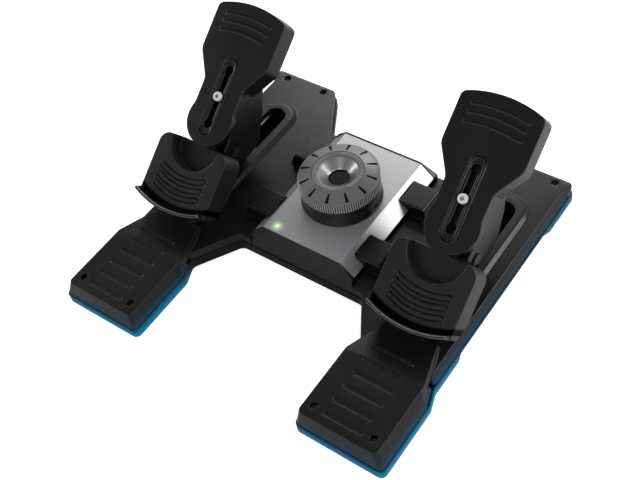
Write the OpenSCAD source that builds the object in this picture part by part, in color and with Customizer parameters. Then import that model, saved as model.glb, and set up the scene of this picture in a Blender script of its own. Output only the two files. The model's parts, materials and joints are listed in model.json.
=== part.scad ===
// Flight simulator rudder pedals: two sliding pedals with tilting toe plates on an H-shaped base.
// Millimetres. +Z is up, +Y points away from the user, +X is the user's right.
// The origin is on the floor, in the middle of the base.
// Every right-hand piece is drawn at +X and mirrored for the left.

/* [Base] */
// Width across the two heel rests
overall_w = 435; // [425:1:460]
// Depth from the front of the heel rests to the rear edge
overall_d = 410; // [400:1:430]
// Distance between the centre lines of the two pedals
pedal_pitch = 323; // [318:1:328]
// Height of the deck's top face
deck_z = 26; // [25.5:0.5:28]
// Height of the seam between the tray and the decks
seam_z = 14; // [13:0.5:15]
// Height of the heel rest's top face
heel_z = 36.5; // [34:0.5:37]
// Wall of the mouldings
wall = 2.6; // [2:0.1:3]
// Width of each pedal slot in the decks
slot_w = 27; // [26:0.5:29]
// Length of each pedal slot
slot_l = 192; // [186:1:196]

/* [Centre housing] */
// Half the width of the cover's flat top
cover_half_w = 52.7; // [50:0.5:54]
// Height of the cover's flat top
cover_z = 47.6; // [46:0.5:50]
// Depth of the cover, front to back
cover_l = 165; // [160:1:168]
// Thickness of the cover's sheet
sheet_t = 1.5; // [1:0.1:2]

/* [Tension dial] */
// Radius of the knurled ring
dial_r = 46.7; // [42:0.1:48]
// Height of the dial's rim above the cover
dial_h = 35.8; // [32:0.1:40]
// Height of the knurled ring
ring_h = 14.3; // [10:0.1:18]
// Ridges round the knurled ring
knurl_count = 110; // [60:1:130]

/* [Pedals] */
// Slope of the pedal faces above the floor, in degrees
pedal_tilt = 36; // [34:0.5:38]
// Height of the clamp screw's seat above the floor
pedal_z = 131; // [130:1:136]
// Half the width of the toe plate's pad
pad_half_w = 48; // [44:0.5:50]
// Length of the toe plate above the clamp screw
pad_top = 111.2; // [100:0.1:116]
// Half the width of the toe plate's neck
neck_half_w = 28; // [27:0.5:29]
// Half the width of the heel cup
cup_half_w = 49; // [46:0.5:52]
// Height of the lip round the heel cup
lip_h = 12; // [8:0.5:13]

/* [Travel] */
// Travel of each pedal forwards and back from the middle
rudder_travel = 50; // [40:1:50]
// Travel of the toe plate up and down its lever from the middle
toe_travel = 29; // [20:1:29]

/* [Hidden] */
// One overrun for all cuts
cut = 1;
// Clearance between still faces that aren't a fit
gap = 0.3;
// Running clearance on a radius
fit = 0.05;

// Plan of the base, right half: outer edge, heel rest, diagonal walls and bridge
half_d = overall_d / 2;
heel_out = overall_w / 2;
limb_step = 6.5;
limb_out = heel_out - limb_step;
rest_w = 108.5;
heel_in = heel_out - rest_w;
heel_back = 87;
heel_blend = 20;
rear_limb_w = 90;
rear_in = limb_out - rear_limb_w;
bridge_x = 84;
bridge_front = -43;
bridge_rear = 141;
gusset_x = 118;
gusset_run = 22;
gusset_y = heel_back + gusset_run - half_d;
plan_r = 7;
inner_r = 10;
floor_z = 1.2;
floor_top = 4;
skirt_proud = 1.2;
arch_z = 11;
arch_in = 191;
arch_front = -46;
arch_rear = 131;
arch_ramp_front = 6;
arch_ramp_rear = 16;

// Decks
deck_out = limb_out - skirt_proud;
deck_lean = 6;
flare_l = 26;
deck_top_out = deck_out - deck_lean;
deck_in = 70.3;
rest_taper = 53;
rest_tip_half = 30.5;
rest_inset_out = 8;
rest_inset_in = 4;
rest_draft = 4.2;
ramp_step = 5;
ramp_y = heel_back + ramp_step - half_d;
pedal_x = pedal_pitch / 2;
pedal_y = 48.7;
slot_y = 46;
rim_w = 14.5;
rim_h = 4;
rim_bevel = 5;
tread_count = 6;
tread_start = 18;
tread_first = tread_start - half_d;
tread_pitch = 17.9;
tread_half = 24;
tread_w = 5;
tread_depth = 1.2;

// Lugs that reach from the decks over the cover's slopes
lug_z = 43.5;
lug_out = 90;
lug_foot = 98;
lug_l = 34;
lug_rear = 44.3;
lug_front = 45.7;
lug_ys = [pedal_y + lug_rear, pedal_y - lug_front];
lug_r = 4;

// Deck screws
screw_r = 1.9;
screw_head_r = 3.7;
screw_head_h = 2.4;
well_r = 4.2;
boss_r = 6.5;
rear_well = 6;
rest_well = 9;
rear_screw_edge = 10;
rear_screw_in = 13;
rear_screw_out = 20.3;
rest_screw_edge = 19.5;
rest_screw_in = 16.3;
rest_screw_out = 20.3;
// Each is x, y, the seat of its head and the top face round its well
deck_screws_at = [
    [rear_in + rear_screw_in, half_d - rear_screw_edge, deck_z - rear_well, deck_z],
    [limb_out - rear_screw_out, half_d - rear_screw_edge, deck_z - rear_well, deck_z],
    [heel_in + rest_screw_in, rest_screw_edge - half_d, heel_z - rest_well, heel_z],
    [heel_out - rest_screw_out, rest_screw_edge - half_d, heel_z - rest_well, heel_z]];

// Centre housing
slope_run = 17;
slope_drop = 16.3;
cover_foot = cover_half_w + slope_run;
cover_foot_z = cover_z - slope_drop;
cover_rear = 132.3;
cover_front = cover_rear - cover_l;
frame_wall = 2.4;
frame_inset = 0.8;
frame_side = cover_foot - frame_inset;
cap_proud = 0.8;
cap_lean = 9;
rear_rim = 1.8;
spindle_r = 4;
frame_screws_at = [[56, -22], [-56, -22], [56, 122], [-56, 122]];
frame_boss_r = 5;
led_x = -39;
led_y = -24;
led_r = 1.6;
board_z = 38.4;
board_t = 1.6;
board_w = 84;
board_d = 18;
board_posts = [[-30, -21], [34, -21]];
inlet_x = 30;
inlet_z = 20;
inlet_r = 4.6;

// Crossbar and its pivot
bar_z = 4.8;
bar_t = 3;
bar_half_w = 11;
bar_hub_r = 16;
hub_top = 15.5;
bush_r = 11;
post_r = 8;
post_top = 21;
post_bore_r = 5;
pin_r = 4;
pin_play = 0.8;
pin_creep = 9;
bar_end = 8;
coil_r = 21.5;
coil_wire_r = 1.1;
coil_turns = 4;
coil_z = 9.4;
coil_pitch = 2.9;
nut_z = 22.8;
nut_h = 5;
nut_half_w = 11;
nut_drop = 1.5;
washer_h = 5.4;

// Guide rods and carriages
rod_r = 4;
rod_x = 18;
rod_z = 15.5;
rod_l = 240;
rod_block_t = 12;
rod_bush_r = 5.6;
rod_bush_l = 14;
block_half_w = 25;
block_l = 60;
block_z0 = 8.6;
block_z1 = 22.4;
column_half_w = 11;
column_far = 57;
column_low_z = 42;

// Pedal frame: v runs up the slope from the clamp screw, m stands off the face
cos_t = cos(pedal_tilt);
sin_t = sin(pedal_tilt);
function py(v, m) = pedal_y + v * cos_t - m * sin_t;
function pz(v, m) = pedal_z + v * sin_t + m * cos_t;

// Toe plate
pad_arc_r = 132;
pad_low = 46;
neck_top = 15;
neck_t = 10;
pad_deep = 26;
pad_wall = 2.6;
pad_corner_r = 8;
neck_blend_r = 16;
nose_v = -28.7;
nose_r = 31;
plate_slot_half = 32.5;
plate_slot_w = 7.4;
plate_slot_r = 5.4;
plate_rim_r = 9.4;
plate_rim_w = 1.8;
plate_rim_h = 1.2;
rib_drops = [14.5, 24, 34.5];
rib_vs = [for (drop = rib_drops) pad_top - drop];
rib_arc_r = 155;
rib_half = 33;
rib_w = 3.2;
rib_h = 1;

// Toe lever and its pivot
lever_half_w = 24.5;
lever_wall = 3;
lever_low = -28;
lever_high = 23;
tongue_half_w = 13;
tongue_high = 41;
lever_front = -57.5;
// Side outline of the lever below its top plate, in v and m
lever_far = [[25.5, -28], [28, -43.8], [14.8, -51.6], [6.1, -60.1], [-5.8, -66.3], [-16.3, -72.2], [-26.8, -78.2]];
lever_near = [[-45.5, -73.3], [-57.5, -66]];
pivot_v = -52;
pivot_m = -38;
pivot_r = 4;
head_r = 9;
pivot_y = py(pivot_v, pivot_m);
pivot_z = pz(pivot_v, pivot_m);
clip_r = 6.5;
clip_t = 1.6;
clamp_r = 2.2;
clamp_head_r = 5.7;
clamp_head_h = 3;
clamp_nut_r = 6.5;
clamp_nut_h = 4;
brake_coil_r = 8.2;
brake_wire_r = 0.9;
brake_turns = 3;
brake_pitch = 2.4;
sensor_r = 8;
sensor_t = 7.5;

// Heel cup
cup_m = 8;
cup_deep = 33;
cup_top = -58.7;
cup_corner_r = 13;
cup_arc_r = 113;
cup_arc_v = -22.7;
cup_clear_z = 41;
cup_face_t = 3;
pocket_v = cup_top + cut;
pocket_r = 34;
pocket_deep = 20;
lip_in = 4.5;
lip_t = 4.5;
lip_round = 1.6;
loop_vs = [-102.7, -113.7, -125];
loop_r = 76;
loop_half = 30;
loop_w = 6;
loop_line = 1.3;
loop_deep = 1.2;
shelf_t = 5;
shelf_half_w = 28;
shelf_low = -120;
shelf_high = -66;
cup_post_x = 18;
cup_post_v = -106;
cup_post_r = 4;

// Dial
dial_gap = 0.6;
dial_z = cover_z + dial_gap;
dial_top = dial_z + dial_h;
face_rise = 5.1;
face_top = dial_top + face_rise;
ring_z = dial_top - ring_h;
knurl_deep = 0.9;
skirt_top_r = dial_r - 1.6;
skirt_base_r = dial_r + 0.4;
face_in_r = 30.3;
crest_r = 22.7;
funnel_drop = 9;
funnel_z = face_top - cut - funnel_drop;
hub_cap_r = 11.6;
hub_cap_t = 4.5;
arc_r = 26.6;
arc_w = 0.9;
arc_half = 14;
tick_count = 12;
tick_turn = 17.5;
tick_in_r = 33.6;
tick_out_r = 44.3;
tick_w_in = 1.6;
tick_w_out = 3.3;
tick_deep = 0.7;

// Feet
foot_r = 9;
foot_t = 2.6;
foot_edge = 22;
foot_side = 25.5;
foot_in = 20;
feet_at = [[heel_in + foot_in, foot_edge - half_d], [heel_out - foot_edge, foot_edge - half_d],
    [pedal_x, gusset_y - 2 * foot_r + fit], [rear_in + foot_side, half_d - foot_edge],
    [limb_out - foot_side, half_d - foot_edge]];

black = [0.13, 0.13, 0.14];
dark = [0.08, 0.08, 0.09];
tray_blue = [0.02, 0.36, 0.55];
silver = [0.66, 0.67, 0.69];
steel = [0.6, 0.61, 0.63];
bronze = [0.7, 0.52, 0.28];

$fn = 64;

// Helpers

module left_of() mirror([1, 0, 0]) children();

module both_sides() {
    children();
    left_of() children();
}

// Puts a right-hand piece drawn in v, m terms on the pedal's slope
module on_pedal() translate([pedal_x, pedal_y, pedal_z]) rotate([pedal_tilt, 0, 0]) children();

// Draws a side outline of v, m points as a plate across x, centred
module side_plate(points, width) {
    rotate([90, 0, 90])
        translate([0, 0, -width / 2])
            linear_extrude(width) polygon(points);
}

module tube(outer, inner, length) {
    difference() {
        cylinder(r = outer, h = length);
        translate([0, 0, -cut]) cylinder(r = inner, h = length + 2 * cut);
    }
}

// Flat slot outline along y, length from end to end
module stadium(half_w, length) {
    square([2 * half_w, length - 2 * half_w], center = true);
    for (end = [-1, 1]) translate([0, end * (length / 2 - half_w)]) circle(half_w);
}

module soft_square(low, high, r) {
    translate([low[0] + r, low[1]]) square([high[0] - low[0] - 2 * r, high[1] - low[1]]);
    translate([low[0], low[1] + r]) square([high[0] - low[0], high[1] - low[1] - 2 * r]);
    for (x = [low[0] + r, high[0] - r], y = [low[1] + r, high[1] - r]) translate([x, y]) circle(r, $fn = 32);
}

// Sector of a ring about the origin that opens towards -y
module ring_sector(r_in, r_out, half_angle) {
    far = 2 * r_out;
    intersection() {
        difference() {
            circle(r_out, $fn = 128);
            circle(r_in, $fn = 128);
        }
        polygon([[0, 0], [-far * tan(half_angle), -far], [far * tan(half_angle), -far]]);
    }
}

function helix(r, turns, pitch, steps, wire, sides) = [
    for (i = [0 : turns * steps], k = [0 : sides - 1])
        let (a = 360 * i / steps, b = 360 * k / sides)
        [(r + wire * cos(b)) * cos(a), (r + wire * cos(b)) * sin(a), pitch * i / steps + wire * sin(b)]];

function sweep_faces(rings, sides) = concat(
    [for (i = [0 : rings - 2], k = [0 : sides - 1])
        let (a = i * sides + k, b = i * sides + (k + 1) % sides)
        each [[a, b, b + sides], [a, b + sides, a + sides]]],
    [[for (k = [sides - 1 : -1 : 0]) k]],
    [[for (k = [0 : sides - 1]) (rings - 1) * sides + k]]);

// Wire coil that climbs z from zero
module coil(r, turns, pitch, wire) {
    steps = 16;
    sides = 6;
    rings = turns * steps + 1;
    polyhedron(helix(r, turns, pitch, steps, wire, sides), sweep_faces(rings, sides));
}

// Base

module half_plan() {
    polygon([[-cut, bridge_front], [-cut, bridge_rear], [bridge_x, bridge_rear], [rear_in, half_d],
        [limb_out, half_d], [limb_out, heel_back + heel_blend - half_d],
        [heel_out, heel_back - half_d], [heel_out, -half_d], [heel_in, -half_d],
        [heel_in, heel_back - half_d], [gusset_x, gusset_y], [bridge_x, bridge_front]]);
}

module base_plan(inset) {
    offset(delta = -inset, $fn = 32) offset(r = -inner_r, $fn = 32) offset(delta = inner_r)
        offset(r = plan_r, $fn = 32) offset(delta = -plan_r, $fn = 32) {
            half_plan();
            mirror([1, 0]) half_plan();
        }
}

// Cut that lifts the skirt's outer side off the floor, with sloped ends
module arch_cut() {
    translate([arch_in, 0, 0]) rotate([90, 0, 90]) linear_extrude(overall_w)
        polygon([[arch_front - arch_ramp_front, -cut], [arch_rear + arch_ramp_rear, -cut],
            [arch_rear + arch_ramp_rear, floor_z], [arch_rear, arch_z], [arch_front, arch_z],
            [arch_front - arch_ramp_front, floor_z]]);
}

// Solid left inside the tray above that cut
module arch_keep() {
    y0 = arch_front - arch_ramp_front - wall;
    translate([arch_in - wall, y0, floor_z])
        cube([overall_w, arch_rear + arch_ramp_rear + wall - y0, seam_z - floor_z]);
}

module rod_places() {
    for (x = [-rod_x, rod_x]) translate([pedal_x + x, 0, rod_z]) children();
}

module rod_blocks() {
    half = rod_l / 2 - rod_block_t / 2;
    for (end = [-1, 1])
        translate([pedal_x - block_half_w, pedal_y + end * half - rod_block_t / 2, floor_z])
            cube([2 * block_half_w, rod_block_t, block_z1 - floor_z]);
}

module tray_bosses() {
    for (at = deck_screws_at) translate([at[0], at[1], floor_z]) cylinder(r = boss_r, h = seam_z - floor_z);
    rod_blocks();
}

module base_tray() {
    color(tray_blue) difference() {
        union() {
            difference() {
                translate([0, 0, floor_z]) linear_extrude(seam_z - floor_z) base_plan(0);
                difference() {
                    translate([0, 0, floor_top]) linear_extrude(seam_z) base_plan(wall);
                    both_sides() arch_keep();
                }
                both_sides() arch_cut();
            }
            both_sides() tray_bosses();
            for (at = frame_screws_at)
                translate([at[0], at[1], floor_z]) cylinder(r = frame_boss_r, h = seam_z - floor_z);
            translate([0, pedal_y, floor_z]) cylinder(r = bush_r, h = bar_z - floor_z - gap);
        }
        both_sides() {
            for (at = deck_screws_at)
                translate([at[0], at[1], floor_top]) cylinder(r = screw_r + fit, h = seam_z);
            rod_places() translate([0, pedal_y - rod_l / 2, 0])
                rotate([-90, 0, 0]) cylinder(r = rod_r + fit, h = rod_l);
            for (at = feet_at) translate([at[0], at[1], 0]) cylinder(r = foot_r + fit, h = foot_t);
        }
        for (at = frame_screws_at) {
            translate([at[0], at[1], 0]) cylinder(r = screw_r + fit, h = seam_z + cut);
            translate([at[0], at[1], 0]) cylinder(r = well_r, h = floor_z + screw_head_h);
        }
        translate([0, pedal_y, floor_z - cut]) cylinder(r = post_r + fit, h = seam_z);
    }
}

module rubber_feet() {
    color(dark) both_sides() for (at = feet_at) translate([at[0], at[1], 0]) cylinder(r = foot_r, h = foot_t);
}

// Limb of a deck: sloped outer side, upright inner side
module deck_limb() {
    r = plan_r - skirt_proud;
    rear = half_d - skirt_proud;
    for (front = [gusset_y, rear - flare_l]) hull() {
        translate([0, 0, seam_z]) linear_extrude(fit)
            soft_square([rear_in + skirt_proud, front], [deck_out, rear], r);
        translate([0, 0, deck_z - fit]) linear_extrude(fit) {
            soft_square([rear_in + skirt_proud, front], [deck_top_out, rear], r);
            // The slope runs out at the rear corner
            if (front > gusset_y) translate([deck_out - r - fit, rear - r]) circle(r, $fn = 32);
        }
    }
}

// Heel rest: a drafted block whose rear end narrows and slopes down to the slot's rim
module heel_rest(inset) {
    r = plan_r - skirt_proud;
    z0 = seam_z - (inset > 0 ? cut : 0);
    x0 = heel_in + skirt_proud + inset;
    x1 = heel_out - skirt_proud - inset;
    y0 = -half_d + skirt_proud + inset;
    y1 = heel_back - half_d;
    hull() {
        translate([0, 0, z0]) linear_extrude(fit) {
            soft_square([x0, y0], [x1, y1], r);
            soft_square([x0 + rest_inset_in, y0], [limb_out - skirt_proud - inset, y1 + heel_blend], r);
        }
        translate([0, 0, heel_z - inset - fit]) linear_extrude(fit)
            soft_square([x0 + rest_inset_in, y0 + rest_draft], [x1 - rest_inset_out, ramp_y], r);
    }
}

module rest_ramp(inset) {
    z0 = deck_z - rim_h;
    x0 = heel_in + skirt_proud + rest_inset_in + inset;
    x1 = heel_out - skirt_proud - rest_inset_out - inset;
    top = rest_tip_half - inset;
    foot = top + rim_h;
    hull() {
        translate([x0, ramp_y - plan_r, z0]) cube([x1 - x0, fit, heel_z - inset - z0]);
        translate([x0 - wall, ramp_y - plan_r, z0]) cube([x1 - x0 + 2 * wall, fit, fit]);
        translate([x0, ramp_y - fit, z0]) cube([x1 - x0, fit, heel_z - inset - z0]);
        translate([pedal_x - top, ramp_y + rest_taper - inset, z0])
            cube([2 * top, fit, deck_z + rim_h - inset - z0]);
        translate([pedal_x - foot, ramp_y + rest_taper - inset, z0]) cube([2 * foot, fit, fit]);
    }
}

// Height of the heel rest's face at a given y
function rest_z(y) = y < ramp_y ? heel_z : heel_z - (y - ramp_y) * (heel_z - deck_z - rim_h) / rest_taper;

// Flat part of a deck, from the centre housing to a stated x
module deck_flat(inset, x1, height) {
    linear_extrude(height) offset(delta = -inset) intersection() {
        base_plan(skirt_proud);
        translate([deck_in, gusset_y]) square([x1 - deck_in, half_d - gusset_y]);
    }
}

module lug(y) {
    x0 = cover_half_w + (cover_z - lug_z) * slope_run / slope_drop;
    intersection() {
        translate([0, y + lug_l / 2, 0]) rotate([90, 0, 0]) linear_extrude(lug_l)
            polygon([[x0 + gap, lug_z], [lug_out, lug_z], [lug_foot, deck_z - cut], [deck_in, deck_z - cut],
                [deck_in, cover_foot_z - gap], [cover_foot + gap, cover_foot_z]]);
        linear_extrude(cover_z) soft_square([x0, y - lug_l / 2], [lug_foot + cut, y + lug_l / 2], lug_r);
    }
}

module slot_rim() {
    half = slot_w / 2 + rim_w;
    run = slot_l / 2 - slot_w / 2;
    translate([pedal_x, slot_y, deck_z - cut]) {
        for (end = [-1, 1]) translate([0, end * run, 0])
            cylinder(r1 = half + rim_bevel * cut / rim_h, r2 = half - rim_bevel, h = rim_h + cut);
        rotate([90, 0, 0]) translate([0, 0, -run]) linear_extrude(2 * run)
            polygon([[-half - rim_bevel * cut / rim_h, 0], [half + rim_bevel * cut / rim_h, 0],
                [half - rim_bevel, rim_h + cut], [rim_bevel - half, rim_h + cut]]);
    }
}

module tread_grooves() {
    for (i = [0 : tread_count - 1])
        translate([pedal_x, tread_first + i * tread_pitch, rest_z(tread_first + i * tread_pitch) - tread_depth])
            linear_extrude(2 * tread_depth + cut) rotate(90) stadium(tread_w / 2, 2 * tread_half);
}

module deck() {
    color(black) difference() {
        union() {
            difference() {
                union() {
                    deck_limb();
                    heel_rest(0);
                    rest_ramp(0);
                    translate([0, 0, seam_z]) deck_flat(0, rear_in + 2 * plan_r, deck_z - seam_z);
                    for (y = lug_ys) lug(y);
                    slot_rim();
                }
                translate([0, 0, seam_z - cut]) deck_flat(wall, deck_top_out, deck_z - wall - seam_z + cut);
                heel_rest(wall);
                rest_ramp(wall);
            }
            for (at = deck_screws_at) translate([at[0], at[1], seam_z])
                cylinder(r = boss_r, h = at[3] - cut - seam_z);
        }
        translate([pedal_x, slot_y, seam_z]) linear_extrude(heel_z) stadium(slot_w / 2, slot_l);
        for (at = deck_screws_at) {
            translate([at[0], at[1], at[2]]) cylinder(r = well_r, h = heel_z);
            translate([at[0], at[1], seam_z - cut]) cylinder(r = screw_r + fit, h = heel_z);
        }
        tread_grooves();
    }
}

module deck_screws() {
    color(dark) both_sides() for (at = deck_screws_at) {
        translate([at[0], at[1], at[2]]) difference() {
            cylinder(r = screw_head_r, h = screw_head_h);
            translate([0, 0, screw_head_h / 2]) cylinder(r = screw_r, h = screw_head_h, $fn = 6);
        }
        translate([at[0], at[1], floor_top + gap]) cylinder(r = screw_r, h = at[2] - floor_top);
    }
}

module guide_rods() {
    color(steel) both_sides() rod_places()
        translate([0, pedal_y - rod_l / 2, 0]) rotate([-90, 0, 0]) cylinder(r = rod_r, h = rod_l);
}

// Centre housing

// Outline of the bent cover, seen from the front, shrunk by an even sheet thickness
function cover_outline(t, foot) =
    let (side = t / cos(atan(slope_drop / slope_run) / 2),
        top_x = cover_half_w - t * tan(atan(slope_drop / slope_run) / 2),
        low_x = cover_foot - side)
    [[-low_x, foot], [-low_x, cover_foot_z], [-top_x, cover_z - t], [top_x, cover_z - t],
        [low_x, cover_foot_z], [low_x, foot]];

module along_y(y0, y1) translate([0, y1, 0]) rotate([90, 0, 0]) linear_extrude(y1 - y0) children();

module centre_cover() {
    color(silver) difference() {
        along_y(cover_front, cover_rear) difference() {
            polygon(cover_outline(0, cover_foot_z));
            polygon(cover_outline(sheet_t, cover_foot_z - cut));
        }
        translate([0, pedal_y, 0]) cylinder(r = spindle_r + 2 * sheet_t, h = cover_z + cut);
        translate([led_x, led_y, 0]) cylinder(r = led_r + fit, h = cover_z + cut);
    }
}

module centre_frame() {
    z1 = cover_z - sheet_t - gap;
    t = sheet_t + gap;
    color(black) difference() {
        union() {
            difference() {
                along_y(cover_front + gap, cover_rear - gap)
                    intersection() {
                        polygon(cover_outline(t, seam_z));
                        translate([-frame_side, seam_z]) square([2 * frame_side, cover_z]);
                    }
                along_y(cover_front - cut, cover_rear + cut)
                    polygon(cover_outline(t + frame_wall, seam_z - cut));
            }
            translate([0, pedal_y, nut_z + nut_h + 3 * gap]) cylinder(r = 3 * spindle_r, h = z1 - nut_z - nut_h - 4 * gap);
            for (at = board_posts) translate([at[0], at[1], board_z + board_t])
                cylinder(r = 2 * screw_r, h = z1 - board_z - board_t - gap);
            for (at = frame_screws_at) translate([at[0], at[1], seam_z])
                cylinder(r = frame_boss_r, h = cover_foot_z + frame_boss_r - seam_z);
            for (side = [-1, 1]) translate([side * (nut_half_w + gap + wall / 2) - wall / 2, pedal_y - 3 * wall,
                nut_z - nut_drop])
                cube([wall, 6 * wall, z1 - nut_z + nut_drop - gap]);
        }
        translate([0, pedal_y, 0]) cylinder(r = spindle_r + fit, h = cover_z);
        translate([led_x, led_y, 0]) cylinder(r = led_r + gap, h = cover_z);
        for (at = frame_screws_at) translate([at[0], at[1], 0]) cylinder(r = screw_r + fit, h = cover_foot_z);
    }
}

module frame_screws() {
    color(dark) for (at = frame_screws_at) {
        translate([at[0], at[1], floor_z]) cylinder(r = screw_head_r, h = screw_head_h);
        translate([at[0], at[1], floor_z]) cylinder(r = screw_r, h = cover_foot_z - floor_z - cut);
    }
}

// End caps: a leaning wall that follows the cover's outline with a thin rim round it
module cap_blank(y0, y1) {
    x = deck_in - gap;
    along_y(y0, y1) intersection() {
        offset(delta = cap_proud) polygon(cover_outline(0, seam_z));
        translate([-x, seam_z]) square([2 * x, cover_z]);
    }
}

module cap_core(y0, y1) {
    along_y(y0, y1) polygon(cover_outline(sheet_t + gap + frame_wall, seam_z - cut));
}

module front_end_cap() {
    y0 = bridge_front + skirt_proud;
    lean = atan(cap_lean / (cover_z - seam_z));
    color(dark) difference() {
        cap_blank(y0, cover_front - fit);
        translate([-heel_out, y0, seam_z]) rotate([-lean, 0, 0])
            translate([0, -overall_d, -cover_z]) cube([overall_w, overall_d, 3 * cover_z]);
        translate([0, 0, -wall]) difference() {
            cap_core(y0 + wall, cover_front + cut);
            translate([-heel_out, y0 + wall, seam_z]) rotate([-lean, 0, 0])
                translate([0, -overall_d, -cover_z]) cube([overall_w, overall_d, 3 * cover_z]);
        }
    }
}

// Space behind the rear cap: upright up to the cable, then leaning in to a thin rim
module behind_cap(inset) {
    y1 = bridge_rear - skirt_proud - inset;
    knee = inlet_z + 2 * inlet_r;
    top_y = cover_rear + rear_rim - inset;
    rotate([90, 0, 90]) translate([0, 0, -heel_out]) linear_extrude(overall_w)
        polygon([[y1, 0], [y1, knee], [top_y, cover_z + cap_proud], [top_y, 2 * cover_z],
            [half_d, 2 * cover_z], [half_d, 0]]);
}

module rear_end_cap() {
    y1 = bridge_rear - skirt_proud;
    color(dark) difference() {
        cap_blank(cover_rear + fit, half_d);
        behind_cap(0);
        difference() {
            cap_core(cover_rear - cut, half_d);
            behind_cap(wall);
        }
        translate([inlet_x, y1 - wall - cut, inlet_z]) rotate([-90, 0, 0]) cylinder(r = inlet_r + fit, h = wall + 2 * cut);
    }
}

module cable_inlet() {
    y1 = bridge_rear - skirt_proud;
    color(dark) translate([inlet_x, y1 - wall, inlet_z]) rotate([-90, 0, 0]) difference() {
        union() {
            cylinder(r = inlet_r, h = wall);
            translate([0, 0, wall]) cylinder(r = inlet_r + cut, h = cut);
            translate([0, 0, -2 * cut]) cylinder(r = inlet_r + cut, h = 2 * cut);
        }
        translate([0, 0, -3 * cut]) cylinder(r = inlet_r / 2, h = wall + 5 * cut);
    }
}

module main_board() {
    color([0.05, 0.3, 0.15]) translate([-board_w / 2, led_y - board_d / 3, board_z]) cube([board_w, board_d, board_t]);
    color(dark) translate([-board_d / 2, led_y, board_z - board_t]) cube([board_d, board_d / 2, board_t]);
}

module led_lens() {
    color([0.3, 0.9, 0.3]) translate([led_x, led_y, board_z + board_t])
        cylinder(r = led_r, h = cover_z + fit - board_z - board_t);
}

// Crossbar and centring

module pivot_post() {
    color(steel) translate([0, pedal_y, floor_z]) tube(post_r, post_bore_r, post_top - floor_z);
}

module crossbar() {
    far = pedal_x + pin_creep / 2;
    slot_half = pin_r + pin_play;
    color(steel) translate([0, pedal_y, 0]) difference() {
        union() {
            translate([0, 0, bar_z]) linear_extrude(bar_t) {
                rotate(90) stadium(bar_half_w, 2 * (far + slot_half + bar_end));
                circle(bar_hub_r);
            }
            translate([0, 0, bar_z]) cylinder(r = bar_hub_r, h = hub_top - bar_z);
        }
        translate([0, 0, -cut]) cylinder(r = bush_r, h = seam_z + seam_z);
        for (side = [-1, 1]) translate([side * far, 0, bar_z - cut]) linear_extrude(bar_t + 2 * cut)
            rotate(90) stadium(slot_half, pin_creep + 2 * slot_half);
    }
}

module crossbar_bush() {
    color(bronze) translate([0, pedal_y, bar_z]) tube(bush_r, post_r + fit, hub_top - bar_z);
}

module centring_spring() {
    color(steel) translate([0, pedal_y, coil_z]) coil(coil_r, coil_turns, coil_pitch, coil_wire_r);
}

module yaw_sensor() {
    size = 2 * bar_half_w;
    color([0.05, 0.3, 0.15]) translate([-size / 2, pedal_y + coil_r + 3 * coil_wire_r, floor_top])
        cube([size, board_t, nut_z - floor_top]);
    color(dark) translate([-size / 2, pedal_y + coil_r + 3 * coil_wire_r + board_t, floor_top])
        cube([size, size / 2, bar_t * 4]);
}

module tension_nut() {
    color(bronze) translate([0, pedal_y, nut_z]) difference() {
        translate([-nut_half_w, -nut_half_w, 0]) cube([2 * nut_half_w, 2 * nut_half_w, nut_h]);
        translate([0, 0, -cut]) cylinder(r = spindle_r + fit, h = nut_h + 2 * cut);
    }
}

// Conical spring washer between the nut and the crossbar's hub
module tension_washer() {
    color(steel) translate([0, pedal_y, hub_top + gap]) rotate_extrude()
        polygon([[bush_r - sheet_t, 0], [bush_r, 0], [bush_r - sheet_t / 2, washer_h],
            [bush_r - 2 * sheet_t, washer_h]]);
}

// Carriages

module carriage() {
    y0 = pedal_y - block_l / 2;
    y1 = pedal_y + block_l / 2;
    color(black) difference() {
        union() {
            translate([pedal_x - block_half_w, y0, block_z0])
                cube([2 * block_half_w, block_l, block_z1 - block_z0]);
            translate([pedal_x, 0, 0]) side_plate([[y0, block_z0], [column_far, block_z0],
                [column_far, column_low_z], [pivot_y + 2 * head_r, pivot_z - head_r], [pivot_y + head_r, pivot_z],
                [py(pivot_v + head_r, pivot_m + head_r), pz(pivot_v + head_r, pivot_m + head_r)],
                [py(pivot_v - cut, cup_m - cup_face_t - pocket_deep), pz(pivot_v - cut, cup_m - cup_face_t - pocket_deep)],
                [py(cup_top + gap, cup_m - cup_face_t - pocket_deep), pz(cup_top + gap, cup_m - cup_face_t - pocket_deep)],
                [py(cup_top + gap, pivot_m + head_r), pz(cup_top + gap, pivot_m + head_r)],
                [pivot_y - head_r, pivot_z - head_r], [y0, deck_z + 2 * rim_h]], 2 * column_half_w);
            on_pedal() cup_shelf();
        }
        for (x = [-rod_x, rod_x]) translate([pedal_x + x, y0 - cut, rod_z])
            rotate([-90, 0, 0]) cylinder(r = rod_bush_r, h = block_l + 2 * cut);
        translate([pedal_x, pedal_y, block_z0 - cut]) cylinder(r = pin_r, h = block_z1 - block_z0);
        translate([pedal_x, pivot_y, pivot_z]) rotate([0, 90, 0])
            cylinder(r = pivot_r, h = 4 * column_half_w, center = true);
        on_pedal() for (side = [-1, 1]) translate([side * cup_post_x, cup_post_v, -pad_deep * 2])
            cylinder(r = screw_r + fit, h = pad_deep * 2);
    }
}

// Shelf under the heel cup, with a neck that passes through the cup's back wall
module cup_shelf() {
    m1 = cup_m - pocket_deep - cup_face_t - gap;
    translate([-shelf_half_w, shelf_low, m1 - shelf_t]) cube([2 * shelf_half_w, shelf_high - shelf_low, shelf_t]);
    translate([-column_half_w, shelf_high - cut, m1 - shelf_t])
        cube([2 * column_half_w, pivot_v - shelf_high, shelf_t]);
}

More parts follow.
